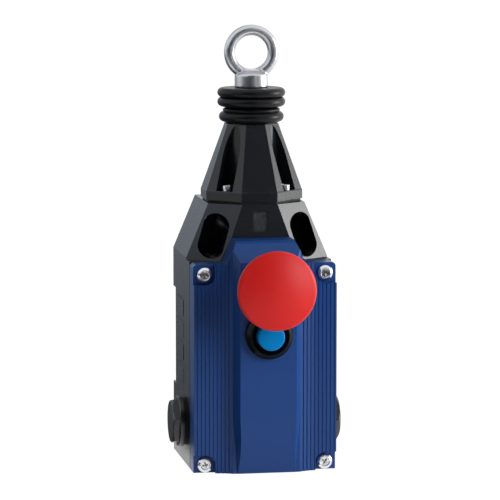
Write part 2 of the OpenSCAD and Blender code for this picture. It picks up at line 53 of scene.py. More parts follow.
tiny = 1e-6
print("frame loaded:", len(nodes), "CAD nodes")


# small helpers

def linearColour(hexCode):
    channels = [int(hexCode[i:i + 2], 16) / 255 for i in (1, 3, 5)]
    linear = [c / 12.92 if c <= 0.04045 else ((c + 0.055) / 1.055) ** 2.4 for c in channels]
    return tuple(linear) + (1,)


def addNode(tree, kind, settings=None, inputs=None):
    node = tree.nodes.new(kind)
    for name, value in (settings or {}).items():
        setattr(node, name, value)
    for name, value in (inputs or {}).items():
        socket = node.inputs[name]
        if isinstance(value, bpy.types.NodeSocket):
            tree.links.new(value, socket)
        else:
            socket.default_value = value
    return node


def startMaterial(name):
    material = bpy.data.materials.new(name)
    material.use_nodes = True
    tree = material.node_tree
    tree.nodes.clear()
    place = addNode(tree, "ShaderNodeTexCoord").outputs["Object"]  # metres, fixed to the piece
    return material, tree, place


def finishMaterial(tree, shader):
    addNode(tree, "ShaderNodeOutputMaterial", inputs={"Surface": shader.outputs[0]})


def paint(objects, material):
    for piece in objects:
        piece.data.materials.clear()
        piece.data.materials.append(material)


# materials

# how far the gloss drifts to either side of a material's own roughness
coatDrift = 0.03
plasticDrift = 0.06
metalDrift = 0.3  # as a share of the roughness
grainDepth = 0.01 * mm
markDepth = 0.005 * mm


# Powder coat baked on die-cast aluminium: satin, with a soft orange peel
# that breaks up the highlights, and a slight cloudiness in the colour.
def powderCoat(name, settings):
    material, tree, place = startMaterial(name)
    peel = addNode(tree, "ShaderNodeTexNoise", inputs={
        "Vector": place, "Scale": 1 / (settings["peelMm"] * mm), "Detail": 2.0, "Roughness": 0.4})
    cloud = addNode(tree, "ShaderNodeTexNoise", inputs={
        "Vector": place, "Scale": 1 / (settings["cloudMm"] * mm), "Detail": 3.0})
    colour = addNode(tree, "ShaderNodeMix", {"data_type": "RGBA"}, {
        "Factor": cloud.outputs["Fac"], "A": linearColour(settings["colour"]),
        "B": linearColour(settings["cloudColour"])})
    rough = addNode(tree, "ShaderNodeMapRange", inputs={
        "Value": cloud.outputs["Fac"], "To Min": settings["roughness"] - coatDrift,
        "To Max": settings["roughness"] + coatDrift})
    bump = addNode(tree, "ShaderNodeBump", inputs={
        "Height": peel.outputs["Fac"], "Strength": settings["peelStrength"],
        "Distance": settings["peelDepthMm"] * mm})
    shader = addNode(tree, "ShaderNodeBsdfPrincipled", inputs={
        "Base Color": colour.outputs["Result"], "Roughness": rough.outputs["Result"],
        "IOR": settings["ior"], "Specular IOR Level": settings["specular"],
        "Normal": bump.outputs["Normal"]})
    finishMaterial(tree, shader)
    return material


# almost black, with clear satin highlights along the edges
anthraciteSettings = {
    "colour": "#0D1116", "cloudColour": "#0F1419", "roughness": 0.27, "ior": 1.5, "specular": 0.5,
    "peelMm": 0.9, "peelDepthMm": 0.02, "peelStrength": 0.35, "cloudMm": 14,
}
# deep blue, a little duller
blueSettings = {
    "colour": "#103D7D", "cloudColour": "#134183", "roughness": 0.31, "ior": 1.5, "specular": 0.3,
    "peelMm": 0.9, "peelDepthMm": 0.02, "peelStrength": 0.3, "cloudMm": 14,
}
anthraciteCoat = powderCoat("anthracite powder coat", anthraciteSettings)
blueCoat = powderCoat("blue powder coat", blueSettings)


# Moulded plastics and rubber: the tool leaves a fine, even grain, and the eye sees
# a soft sheen that is narrower on the glossier pieces. The grain is drawn coarser than
# the real one, so that it shows.
def moulded(name, settings):
    material, tree, place = startMaterial(name)
    grain = addNode(tree, "ShaderNodeTexNoise", inputs={
        "Vector": place, "Scale": 1 / (settings["grainMm"] * mm), "Detail": 3.0})
    drift = addNode(tree, "ShaderNodeTexNoise", inputs={
        "Vector": place, "Scale": 1 / (settings["driftMm"] * mm), "Detail": 2.0})
    colour = addNode(tree, "ShaderNodeMix", {"data_type": "RGBA"}, {
        "Factor": drift.outputs["Fac"], "A": linearColour(settings["colour"]),
        "B": linearColour(settings["driftColour"])})
    rough = addNode(tree, "ShaderNodeMapRange", inputs={
        "Value": grain.outputs["Fac"], "To Min": settings["roughness"] - plasticDrift,
        "To Max": settings["roughness"] + plasticDrift})
    bump = addNode(tree, "ShaderNodeBump", inputs={
        "Height": grain.outputs["Fac"], "Strength": settings["grainStrength"],
        "Distance": grainDepth})
    shader = addNode(tree, "ShaderNodeBsdfPrincipled", inputs={
        "Base Color": colour.outputs["Result"], "Roughness": rough.outputs["Result"],
        "IOR": settings["ior"], "Specular IOR Level": settings["specular"],
        "Normal": bump.outputs["Normal"]})
    finishMaterial(tree, shader)
    return material


# soft rolls, with a thin shine along their crests
blackRubber = moulded("moulded black rubber", {
    "colour": "#06070A", "driftColour": "#090A0D", "roughness": 0.36, "ior": 1.52, "specular": 0.22,
    "grainMm": 0.5, "grainStrength": 0.25, "driftMm": 9})
# cut from sheet, with hardly any shine
gasketRubber = moulded("flat rubber gasket", {
    "colour": "#08090B", "driftColour": "#0C0D10", "roughness": 0.6, "ior": 1.52, "specular": 0.3,
    "grainMm": 0.4, "grainStrength": 0.3, "driftMm": 6})
# a clear sheen on flats that face the light
blackNylon = moulded("glass-filled black nylon", {
    "colour": "#121417", "driftColour": "#15171A", "roughness": 0.32, "ior": 1.53, "specular": 0.85,
    "grainMm": 0.35, "grainStrength": 0.3, "driftMm": 7})
# near black, with a thin, sharp highlight
glossBlack = moulded("polished black nylon", {
    "colour": "#050608", "driftColour": "#08090B", "roughness": 0.24, "ior": 1.53, "specular": 0.12,
    "grainMm": 0.5, "grainStrength": 0.1, "driftMm": 7})
# strong red under a wide, soft highlight
redPlastic = moulded("moulded red button plastic", {
    "colour": "#CE1714", "driftColour": "#D51A16", "roughness": 0.42, "ior": 1.5, "specular": 0.3,
    "grainMm": 0.6, "grainStrength": 0.12, "driftMm": 18})
# bright, even blue with little shine
bluePlastic = moulded("moulded blue button plastic", {
    "colour": "#007AC0", "driftColour": "#007FC6", "roughness": 0.3, "ior": 1.5, "specular": 0.08,
    "grainMm": 0.5, "grainStrength": 0.12, "driftMm": 9})
# waxy off-white
ivoryAcetal = moulded("natural white acetal", {
    "colour": "#D8D4C8", "driftColour": "#DEDACE", "roughness": 0.42, "ior": 1.48, "specular": 0.5,
    "grainMm": 0.4, "grainStrength": 0.15, "driftMm": 8})
# light green, plain enough to read through the window
flagPlastic = moulded("green indicator plastic", {
    "colour": "#5DBB4C", "driftColour": "#64C253", "roughness": 0.45, "ior": 1.5, "specular": 0.5,
    "grainMm": 0.4, "grainStrength": 0.15, "driftMm": 6})


# Metals: bright where the room is bright and dark where it is dark, with tool marks
# and a haze that are seen as a slight change in gloss. The marks are drawn coarser than
# real ones, so that they show.
def metal(name, settings):
    material, tree, place = startMaterial(name)
    stretch = addNode(tree, "ShaderNodeMapping", inputs={
        "Vector": place, "Scale": settings["stretch"]})
    marks = addNode(tree, "ShaderNodeTexNoise", inputs={
        "Vector": stretch.outputs["Vector"], "Scale": 1 / (settings["markMm"] * mm), "Detail": 3.0})
    haze = addNode(tree, "ShaderNodeTexNoise", inputs={
        "Vector": place, "Scale": 1 / (settings["hazeMm"] * mm), "Detail": 2.0})
    colour = addNode(tree, "ShaderNodeMix", {"data_type": "RGBA"}, {
        "Factor": haze.outputs["Fac"], "A": linearColour(settings["colour"]),
        "B": linearColour(settings["hazeColour"])})
    rough = addNode(tree, "ShaderNodeMapRange", inputs={
        "Value": marks.outputs["Fac"], "To Min": settings["roughness"] * (1 - metalDrift),
        "To Max": settings["roughness"] * (1 + metalDrift)})
    bump = addNode(tree, "ShaderNodeBump", inputs={
        "Height": marks.outputs["Fac"], "Strength": settings["markStrength"],
        "Distance": markDepth})
    shader = addNode(tree, "ShaderNodeBsdfPrincipled", inputs={
        "Base Color": colour.outputs["Result"], "Metallic": 1.0,
        "Roughness": rough.outputs["Result"], "Normal": bump.outputs["Normal"]})
    finishMaterial(tree, shader)
    return material


# pale grey, with long, soft reflections
polishedSteel = metal("polished stainless steel", {
    "colour": "#C6C8CC", "hazeColour": "#D0D1D4", "roughness": 0.32, "stretch": (1, 1, 1),
    "markMm": 1.6, "markStrength": 0.08, "hazeMm": 7})
# brighter than the steel, and a little sharper
zincPlate = metal("bright zinc plate", {
    "colour": "#DADCDF", "hazeColour": "#E2E3E5", "roughness": 0.22, "stretch": (1, 1, 1),
    "markMm": 0.5, "markStrength": 0.2, "hazeMm": 4})
# dull grey
springWire = metal("drawn spring wire", {
    "colour": "#8E9094", "hazeColour": "#9A9C9F", "roughness": 0.35, "stretch": (1, 1, 1),
    "markMm": 0.4, "markStrength": 0.3, "hazeMm": 5})
# warm yellow, with lines along the strip
stampedBrass = metal("stamped brass", {
    "colour": "#C9A04E", "hazeColour": "#D1AA5C", "roughness": 0.3, "stretch": (1, 8, 1),
    "markMm": 0.6, "markStrength": 0.2, "hazeMm": 4})


# Polycarbonate: a smoke-tinted window, half seen through, so that the flag shows behind it.
windowSettings = {
    "colour": "#3A3F46", "hazeMm": 3.0, "roughness": (0.28, 0.4), "ior": 1.58, "alpha": 0.5,
}


def smokedWindow():
    settings = windowSettings
    material, tree, place = startMaterial("smoked polycarbonate")
    haze = addNode(tree, "ShaderNodeTexNoise", inputs={
        "Vector": place, "Scale": 1 / (settings["hazeMm"] * mm), "Detail": 2.0})
    rough = addNode(tree, "ShaderNodeMapRange", inputs={
        "Value": haze.outputs["Fac"], "To Min": settings["roughness"][0],
        "To Max": settings["roughness"][1]})
    shader = addNode(tree, "ShaderNodeBsdfPrincipled", inputs={
        "Base Color": linearColour(settings["colour"]), "Roughness": rough.outputs["Result"],
        "IOR": settings["ior"], "Alpha": settings["alpha"]})
    finishMaterial(tree, shader)
    return material


windowPlastic = smokedWindow()
print("materials ready")


# shaping helpers

def alongY(x, y, z):
    # local z looks out of the front, towards -Y, from the point given
    return Matrix.Translation((x, y, z)) @ Matrix.Rotation(math.radians(90), 4, "X")


def alongX(x, y, z, side):
    return Matrix.Translation((x, y, z)) @ Matrix.Rotation(math.radians(90 * side), 4, "Y")


def arc(centreR, centreZ, radius, fromAngle, toAngle, steps):
    angles = [math.radians(fromAngle + (toAngle - fromAngle) * i / steps) for i in range(steps + 1)]
    return [(centreR + radius * math.cos(a), centreZ + radius * math.sin(a)) for a in angles]


# corners of (r, z, fillet radius); each fillet becomes a short arc
def filleted(corners, steps=5):
    outline = []
    for i, (r, z, fillet) in enumerate(corners):
        if fillet == 0 or i in (0, len(corners) - 1):
            outline.append((r, z))
            continue
        here = Vector((r, z))
        before = (Vector(corners[i - 1][:2]) - here).normalized()
        after = (Vector(corners[i + 1][:2]) - here).normalized()
        half = before.angle(after) / 2
        reach = fillet / math.tan(half)
        start, end = here + before * reach, here + after * reach
        centre = here + (before + after).normalized() * (fillet / math.sin(half))
        for k in range(steps + 1):
            point = start.lerp(end, k / steps) - centre
            outline.append(tuple(centre + point.normalized() * fillet))
    return outline


def meshPiece(name, mesh, sharpAngle=35):
    for polygon in mesh.polygons:
        polygon.use_smooth = True
    mesh.set_sharp_from_angle(angle=math.radians(sharpAngle))
    piece = bpy.data.objects.new(name, mesh)
    bpy.context.scene.collection.objects.link(piece)
    return piece


# revolves an outline of (r, z) points in mm about local z; closed rings join last to first,
# and a limit cuts the radius down at some angles
def turnedMesh(name, outline, places, segments=96, closed=False, limit=None):
    shape = bmesh.new()
    for place in places:
        rings = []
        for r, z in outline:
            if r < tiny:
                rings.append([shape.verts.new(place @ Vector((0, 0, z * mm)))])
                continue
            ring = []
            for k in range(segments):
                a = 2 * math.pi * k / segments
                reach = limit(r, z, a) if limit else r
                ring.append(shape.verts.new(
                    place @ Vector((reach * math.cos(a) * mm, reach * math.sin(a) * mm, z * mm))))
            rings.append(ring)
        pairs = list(zip(rings, rings[1:]))
        if closed:
            pairs.append((rings[-1], rings[0]))
        for lower, upper in pairs:
            for k in range(segments):
                after = (k + 1) % segments
                corners = [lower[k % len(lower)], lower[after % len(lower)],
                           upper[after % len(upper)], upper[k % len(upper)]]
                corners = [v for i, v in enumerate(corners) if v not in corners[:i]]
                if len(corners) > 2:
                    shape.faces.new(corners)
    bmesh.ops.recalc_face_normals(shape, faces=shape.faces)
    mesh = bpy.data.meshes.new(name)
    shape.to_mesh(mesh)
    shape.free()
    return mesh


# the mesh of a piece with its modifiers worked in
def settle(piece):
    shown = piece.evaluated_get(bpy.context.evaluated_depsgraph_get())
    mesh = bpy.data.meshes.new_from_object(shown)
    piece.modifiers.clear()
    piece.data = mesh
    return piece


def size(node):
    low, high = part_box(node)
    return low / mm, high / mm


# castings: broken edges on the machined and cast corners

shadeAngle = 6  # degrees: edges flatter than this shade as one surface


def roundingGroup():
    group = bpy.data.node_groups.new("shadeByAngle", "GeometryNodeTree")
    group.interface.new_socket("Geometry", in_out="INPUT", socket_type="NodeSocketGeometry")
    group.interface.new_socket("Geometry", in_out="OUTPUT", socket_type="NodeSocketGeometry")
    start = addNode(group, "NodeGroupInput")
    plain = addNode(group, "GeometryNodeRemoveAttribute", inputs={
        "Geometry": start.outputs["Geometry"], "Name": "custom_normal"})
    angle = addNode(group, "GeometryNodeInputMeshEdgeAngle")
    sharp = addNode(group, "FunctionNodeCompare", {"operation": "LESS_THAN"}, {
        "A": angle.outputs["Unsigned Angle"], "B": math.radians(shadeAngle)})
    faces = addNode(group, "GeometryNodeSetShadeSmooth", {"domain": "FACE"}, {
        "Geometry": plain.outputs["Geometry"]})
    edges = addNode(group, "GeometryNodeSetShadeSmooth", {"domain": "EDGE"}, {
        "Geometry": faces.outputs["Geometry"], "Shade Smooth": sharp.outputs["Result"]})
    addNode(group, "NodeGroupOutput", inputs={"Geometry": edges.outputs["Geometry"]})
    return group


shadeByAngle = roundingGroup()
weldReach = 0.005 * mm
edgeSteps = 3  # faces across a broken edge
# width of the broken edge in mm, and the sharpest turn in degrees that stays as it is
edgeSettings = {
    "housing": (0.45, 30), "spring_hood": (0.4, 24), "front_cover": (0.12, 24),
    "mechanism_carrier": (0.3, 30), "left_contact_block": (0.4, 30),
    "right_contact_block": (0.4, 30), "stop_contact_block": (0.4, 30),
    "reset_lever": (0.3, 30), "indicator_flag": (0.2, 30),
}


def breakEdges(name, widthMm, angle):
    node = nodes[name]
    weld = node.modifiers.new("weld", "WELD")
    weld.merge_threshold = weldReach
    bevel = node.modifiers.new("brokenEdges", "BEVEL")
    bevel.width = widthMm * mm
    bevel.segments = edgeSteps
    bevel.limit_method = "ANGLE"
    bevel.angle_limit = math.radians(angle)
    bevel.use_clamp_overlap = True
    shade = node.modifiers.new("shade", "NODES")
    shade.node_group = shadeByAngle


for name, (widthMm, angle) in edgeSettings.items():
    breakEdges(name, widthMm, angle)

finishes = {
    anthraciteCoat: ["housing", "spring_hood"],
    blueCoat: ["front_cover"],
    gasketRubber: ["cover_gasket", "hood_gasket", "plug_seals"],
    blackNylon: ["plate_clip"],
    redPlastic: ["left_plunger", "right_plunger"],
    ivoryAcetal: ["hood_bush", "rod_bush", "left_contact_block", "right_contact_block",
                  "stop_contact_block", "switch_cam"],
    flagPlastic: ["indicator_flag"],
    windowPlastic: ["indicator_window"],
    polishedSteel: ["pull_rod", "eye_nut", "lever_pin", "stop_stem", "reset_stem", "latch_collar"],
    zincPlate: ["carrier_screws", "block_screws", "mechanism_carrier", "spring_plate", "reset_nut",
                "stop_nut", "reset_lever"],
    stampedBrass: ["fixed_contacts", "terminal_screws", "earth_screw", "left_bridge",
                   "right_bridge", "stop_bridge"],
}
for material, names in finishes.items():
    paint([nodes[n] for n in names], material)
print("castings and inner works finished")


# rubber bellows over the rod

bellowsSettings = {
    "bore": 9.5, "foot": 13.0,
    # beads from the foot upwards: centre radius, height above the foot, roundness,
    # where the arc starts and ends in degrees, and its steps
    "footBead": (14.2, 3.5, 2.7, -75, 62, 14), "ledge": (13.9, 6.9, 1.0, -40, 70, 6),
    "middleBead": (15.2, 11.2, 2.5, -78, 74, 14), "topBead": (15.2, 16.0, 2.5, -74, 88, 14),
    "waist": (12.6, 8.3), "groove": (14.4, 13.6),
    "top": 18.5, "topR": 14.6, "neck": 4.3, "lipBevel": 0.6, "lipRound": 0.5, "lipH": 1.6,
    "roofT": 2.2, "collarH": 1.5,
}


def makeBellows():
    s = bellowsSettings
    low, high = size("bellows")
    base = low.z
    outline = [(s["bore"], 0), (s["foot"], 0)]
    outline += arc(*s["footBead"]) + arc(*s["ledge"]) + [s["waist"]]
    outline += arc(*s["middleBead"]) + [s["groove"]] + arc(*s["topBead"])
    outline += filleted([
        (s["topR"], s["top"], 0), (s["neck"] + s["lipBevel"], s["top"], s["lipRound"]),
        (s["neck"], s["top"] - s["lipH"], 0), (s["bore"], s["top"] - s["roofT"], 0)],
        steps=3)
    mesh = turnedMesh("rubberBellows", outline, [Matrix.Translation((0, 0, base * mm))],
                      segments=128, closed=True)
    piece = meshPiece("rubberBellows", mesh, sharpAngle=60)
    paint([piece], blackRubber)
    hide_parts("bellows")
    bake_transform(piece)


makeBellows()


# compression spring under the hood's roof

springSettings = {"turns": 6, "endTurn": 0.75, "wire": 1.2, "sides": 10, "stepsPerTurn": 28}


def makeSpring():
    s = springSettings
    low, high = size("main_spring")
    coilR = high.x - s["wire"]
    bottom, top = low.z + s["wire"], high.z - s["wire"]
    pitch = (top - bottom) / (s["turns"] - 2 * s["endTurn"])
    count = s["turns"] * s["stepsPerTurn"]
    shape = bmesh.new()
    rings = []
    for i in range(count + 1):
        turn = s["turns"] * i / count
        z = min(max(bottom + pitch * (turn - s["endTurn"]), bottom), top)
        a = 2 * math.pi * turn
        ring = []
        for k in range(s["sides"]):
            b = 2 * math.pi * k / s["sides"]
            r = coilR + s["wire"] * math.cos(b)
            ring.append(shape.verts.new(Vector((
                r * math.cos(a), r * math.sin(a), z + s["wire"] * math.sin(b))) * mm))
        rings.append(ring)
    for lower, upper in zip(rings, rings[1:]):
        for k in range(s["sides"]):
            after = (k + 1) % s["sides"]
            shape.faces.new((lower[k], lower[after], upper[after], upper[k]))
    shape.faces.new(rings[0])
    shape.faces.new(rings[-1])
    bmesh.ops.recalc_face_normals(shape, faces=shape.faces)
    mesh = bpy.data.meshes.new("compressionSpring")
    shape.to_mesh(mesh)
    shape.free()
    piece = meshPiece("compressionSpring", mesh, sharpAngle=50)
    paint([piece], springWire)
    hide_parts("main_spring")
    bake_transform(piece)


makeSpring()


# forged eye

eyeSettings = {
    "bar": 2.9, "barSides": 40, "boreR": 4.0,
    "collarR": 8.7, "collarH": 6.8, "footRound": 0.6, "shoulderRound": 1.6,
    "flareR": 5.4, "flareH": 2.4, "crown": 0.6,
    "voxel": 0.25, "smoothing": 0.5, "smoothSteps": 14,
}


def makeEye():
    s = eyeSettings
    low, high = size("pull_eye")
    ringR = (high.x - low.x) / 2 - s["bar"]
    centreZ = high.z - ringR - s["bar"]
    flareTop = s["collarH"] + s["flareH"]
    outline = filleted([
        (s["boreR"], 0, 0), (s["collarR"], 0, s["footRound"]),
        (s["collarR"], s["collarH"], s["shoulderRound"]),
        (s["flareR"], flareTop, 0), (0, flareTop + s["crown"], 0)])
    outline = [(0, 0)] + outline
    collar = turnedMesh("collar", outline, [Matrix.Translation((0, 0, low.z * mm))])
    ringOutline = [(ringR + s["bar"] * math.cos(a), s["bar"] * math.sin(a))
                   for a in (2 * math.pi * k / s["barSides"] for k in range(s["barSides"]))]
    ring = turnedMesh("ring", ringOutline, [alongY(0, 0, centreZ * mm)],
                      segments=160, closed=True)
    shape = bmesh.new()
    shape.from_mesh(collar)
    shape.from_mesh(ring)
    mesh = bpy.data.meshes.new("forgedEye")
    shape.to_mesh(mesh)
    shape.free()
    piece = meshPiece("forgedEye", mesh)
    remesh = piece.modifiers.new("oneForging", "REMESH")
    remesh.mode = "VOXEL"
    remesh.voxel_size = s["voxel"] * mm
    remesh.use_smooth_shade = True
    smooth = piece.modifiers.new("forgedCorners", "SMOOTH")
    smooth.factor = s["smoothing"]
    smooth.iterations = s["smoothSteps"]
    bpy.context.view_layer.update()
    settle(piece)
    paint([piece], polishedSteel)
    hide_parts("pull_eye")
    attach(piece, "rod_assembly")


makeEye()
print("rod, spring, bellows and eye made")


# mushroom button

mushroomSettings = {
    # the rim's arc: where it starts and ends in degrees, and its steps
    "rim": 2.4, "rimZ": 24.0, "rimArc": (72, -90, 18), "dome": 3.4, "domeSteps": 24,
    "seam": 0.35,  # the dome stops short of the rim's centre and runs on without a corner
    "lipStep": 1, "lipRise": 0.1, "underR": 12.0, "underZ": 18.0, "underRound": 2.0,
    "neckR": 7.0, "neckTop": 16.5, "neckRound": 1.2, "stemR": 3, "stemDepth": 8,
}


def makeMushroom():
    s = mushroomSettings
    low, high = size("stop_button")
    radius = (high.z - low.z) / 2
    centreZ = (high.z + low.z) / 2
    rimAt = radius - s["rim"]
    domeR = (rimAt ** 2 + s["dome"] ** 2) / (2 * s["dome"])
    top = s["rimZ"] + s["rim"] + s["dome"]
    domeEnd = rimAt - s["seam"]
    outline = [(0, top)]
    for i in range(1, s["domeSteps"] + 1):
        r = domeEnd * i / s["domeSteps"]
        outline.append((r, top - domeR + math.sqrt(domeR ** 2 - r ** 2)))
    outline += arc(rimAt, s["rimZ"], s["rim"], *s["rimArc"])
    outline += filleted([
        (rimAt - s["lipStep"], s["rimZ"] - s["rim"] + s["lipRise"], 0),
        (s["underR"], s["underZ"], s["underRound"]), (s["neckR"], s["neckTop"], s["neckRound"]),
        (s["neckR"], 0, 0), (s["stemR"], 0, 0), (s["stemR"], s["stemDepth"], 0),
        (0, s["stemDepth"], 0)])
    mesh = turnedMesh("mushroomButton", outline, [alongY(0, high.y * mm, centreZ * mm)],
                      segments=160)
    piece = meshPiece("mushroomButton", mesh, sharpAngle=40)
    paint([piece], redPlastic)
    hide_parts("stop_button")
    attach(piece, "stop_assembly")


makeMushroom()


# reset button in its bezel, and the sleeve of the mushroom

resetSettings = {"slimmer": 0.6, "faceRound": 1.0, "footRound": 0.3, "stemR": 3, "stemDepth": 5}
bezelSettings = {
    "threadR": 9.0, "threadDepth": 12, "threadRound": 0.4, "baseRound": 0.3,
    "wallH": 3.4, "wallRound": 1.2, "stepR": 10.6, "stepH": 5.2, "stepRound": 0.8,
    "crestR": 10.0, "lipR": 9.3, "crestRound": 0.5,
    "gap": 0.9, "gapTop": 4.6, "gapRound": 0.4, "floor": -7, "stemHole": 3.1,
}
sleeveSettings = {
    "threadR": 9.0, "threadRound": 0.4, "baseRound": 0.3, "bevelW": 1, "bevelH": 2,
    "bevelRound": 0.6, "boreR": 7.1, "boreRound": 0.4, "floor": -6, "stemHole": 3.1,
}


def makeReset():
    s = resetSettings
    low, high = size("reset_button")
    centreZ = (high.z + low.z) / 2
    radius = (high.z - low.z) / 2
    flatY = high.y
    tall = high.y - low.y
    capR = radius - s["slimmer"]
    outline = filleted([
        (0, tall, 0), (capR, tall, s["faceRound"]), (capR, 0, s["footRound"]),
        (s["stemR"], 0, 0), (s["stemR"], s["stemDepth"], 0), (0, s["stemDepth"], 0)], steps=6)
    mesh = turnedMesh("resetButton", outline, [alongY(0, flatY * mm, centreZ * mm)])
    piece = meshPiece("resetButton", mesh)
    paint([piece], bluePlastic)
    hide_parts("reset_button")
    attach(piece, "reset_assembly")

    s = bezelSettings
    low, high = size("reset_bezel")
    outerR = (high.z - low.z) / 2
    front = flatY - low.y
    innerR = radius + s["gap"]
    outline = filleted([
        (s["stemHole"], -s["threadDepth"], 0), (s["threadR"], -s["threadDepth"], s["threadRound"]),
        (s["threadR"], 0, 0), (outerR, 0, s["baseRound"]), (outerR, s["wallH"], s["wallRound"]),
        (s["stepR"], s["stepH"], s["stepRound"]), (s["crestR"], front, s["crestRound"]),
        (s["lipR"], front, s["crestRound"]), (innerR, s["gapTop"], s["gapRound"]),
        (innerR, s["floor"], 0), (s["stemHole"], s["floor"], 0)])
    mesh = turnedMesh("resetBezel", outline, [alongY(0, flatY * mm, centreZ * mm)], closed=True)
    piece = meshPiece("resetBezel", mesh, sharpAngle=50)
    paint([piece], glossBlack)
    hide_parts("reset_bezel")
    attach(piece, "switch_housing")


def makeSleeve():
    s = sleeveSettings
    low, high = size("stop_sleeve")
    centreZ = (high.z + low.z) / 2
    outerR = (high.z - low.z) / 2
    flatY = size("reset_button")[1].y
    front = flatY - low.y
    depth = high.y - flatY
    outline = filleted([
        (s["stemHole"], -depth, 0), (s["threadR"], -depth, s["threadRound"]), (s["threadR"], 0, 0),
        (outerR, 0, s["baseRound"]), (outerR, front - s["bevelH"], s["bevelRound"]),
        (outerR - s["bevelW"], front, s["bevelRound"]), (s["boreR"], front, s["boreRound"]),
        (s["boreR"], s["floor"], 0), (s["stemHole"], s["floor"], 0)])
    mesh = turnedMesh("mushroomSleeve", outline, [alongY(0, flatY * mm, centreZ * mm)],
                      closed=True)
    piece = meshPiece("mushroomSleeve", mesh)
    paint([piece], blackNylon)
    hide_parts("stop_sleeve")
    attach(piece, "switch_housing")


makeReset()
makeSleeve()
print("buttons made")


# blanking plugs in the cable entries

plugSettings = {
    "shankR": 9.95, "shankRound": 0.5, "bore": 7.5, "boreDepth": 6.0, "boreRound": 0.4,
    "rimRound": 0.3, "flangeR": 13.2, "flangeT": 2.7, "flangeRound": 0.5,
    "headT": 6.1, "hexR": 12.6, "cornerR": 12.45, "chamferFrom": 4.9, "chamferSteps": 8,
    "faceR": 10.6, "faceEdge": 0.5,
    "sideTurn": {-1: 17, 1: 30},  # each head stopped at its own angle
}


# a hexagon head: the turned outline, cut in by six flats above the flange
def makePlug(node, side, name):
    s = plugSettings
    low, high = size(node)
    outer = high.x if side > 0 else -low.x
    seat = outer - s["headT"]
    centreY, centreZ = (low.y + high.y) / 2, (low.z + high.z) / 2
    shankEnd = -(seat - (low.x if side > 0 else -high.x))
    boreEnd = shankEnd + s["boreDepth"]
    outline = filleted([
        (0, boreEnd, 0), (s["bore"], boreEnd, s["boreRound"]), (s["bore"], shankEnd, s["rimRound"]),
        (s["shankR"], shankEnd, s["shankRound"]), (s["shankR"], 0, 0),
        (s["flangeR"], 0, s["rimRound"]), (s["flangeR"], s["flangeT"], s["flangeRound"]),
        (s["cornerR"], s["flangeT"], 0)])
    for i in range(s["chamferSteps"] + 1):
        t = i / s["chamferSteps"]
        outline.append((s["cornerR"] + (s["faceR"] - s["cornerR"]) * t,
                        s["chamferFrom"] + (s["headT"] - s["chamferFrom"]) * t))
    outline += [(s["faceR"] - s["faceEdge"], s["headT"]), (0, s["headT"])]
    place = alongX(side * seat * mm, centreY * mm, centreZ * mm, side)
    place = place @ Matrix.Rotation(math.radians(s["sideTurn"][side] * side), 4, "Z")

    def flats(r, z, angle):
        if z < s["flangeT"] - tiny:
            return r
        across = s["hexR"] * math.cos(math.pi / 6)
        return min(r, across / math.cos((angle % (math.pi / 3)) - math.pi / 6))

    mesh = turnedMesh(name, outline, [place], limit=flats)
    piece = meshPiece(name, mesh, sharpAngle=25)
    paint([piece], blackNylon)
    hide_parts(node)
    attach(piece, "switch_housing")


makePlug("left_entry_plug", -1, "leftPlug")
makePlug("right_entry_plug", 1, "rightPlug")


# screws that show

coverScrewSettings = {
    "headR": 4.0, "headH": 2.8, "shankR": 1.95, "edgeRound": 0.1, "tipRound": 0.3,
    "slope": 1.1, "slopeEdge": 0.1, "slopeRound": 0.3, "crestW": 0.2,
    "dishR": 2.5, "dish": 0.6, "dishEdge": 0.4, "dishRise": 0.5,
    "turns": [12, 38, 55, 27],  # each screw stopped at its own angle
    # the recess tapers to a share of its width at the bottom
    "cross": {"reach": 2.0, "width": 1.2, "depth": 2.6, "taper": 0.12},
}
hoodScrewSettings = {
    "headR": 2.75, "headH": 3.0, "shankR": 1.45, "headRound": 0.4, "edgeRound": 0.1,
    "tipRound": 0.2, "socket": 1.44, "socketDepth": 1.6, "socketRound": 0.15,
}


# a tapered plus, one solid, that cuts the recess of a head; local z out of the head
def crossCutter(headH, cross):
    reach, half = cross["reach"], cross["width"] / 2
    arm = [(reach, -half), (reach, half), (half, half)]
    plus = []
    for quarter in range(4):
        plus += arm
        arm = [(-y, x) for x, y in arm]
    levels = ((cross["taper"], headH - cross["depth"]), (1, headH), (1, headH + 1))
    shape = bmesh.new()
    rings = [[shape.verts.new(Vector((x * share, y * share, z)) * mm) for x, y in plus]
             for share, z in levels]
    shape.faces.new(rings[0])
    shape.faces.new(rings[-1])
    for lower, upper in zip(rings, rings[1:]):
        for k in range(len(plus)):
            after = (k + 1) % len(plus)
            shape.faces.new((lower[k], lower[after], upper[after], upper[k]))
    bmesh.ops.recalc_face_normals(shape, faces=shape.faces)
    mesh = bpy.data.meshes.new("crossCutter")
    shape.to_mesh(mesh)
    shape.free()
    return meshPiece("crossCutter", mesh)


# a pan head, dished in the middle, with its cross recess
def screwMesh(name, s, length):
    headR, headH, edge = s["headR"], s["headH"], s["edgeRound"]
    outline = filleted([
        (0, headH - s["dish"], 0), (s["dishR"] - s["dishEdge"], headH - s["dishRise"], edge),
        (s["dishR"], headH, edge), (s["dishR"] + s["crestW"], headH, edge),
        (headR - s["slopeEdge"], headH - s["slope"], s["slopeRound"]), (headR, 0, edge),
        (s["shankR"], 0, 0), (s["shankR"], -length, s["tipRound"]), (0, -length, 0)], steps=6)
    mesh = turnedMesh(name, outline, [Matrix.Identity(4)], segments=64)
    piece = meshPiece(name, mesh)
    cutter = crossCutter(headH, s["cross"])
    cut = piece.modifiers.new("cross", "BOOLEAN")
    cut.object = cutter
    cut.solver = "EXACT"
    bpy.context.view_layer.update()
    settle(piece)
    mesh = piece.data
    bpy.data.objects.remove(piece)
    bpy.data.objects.remove(cutter)
    return mesh


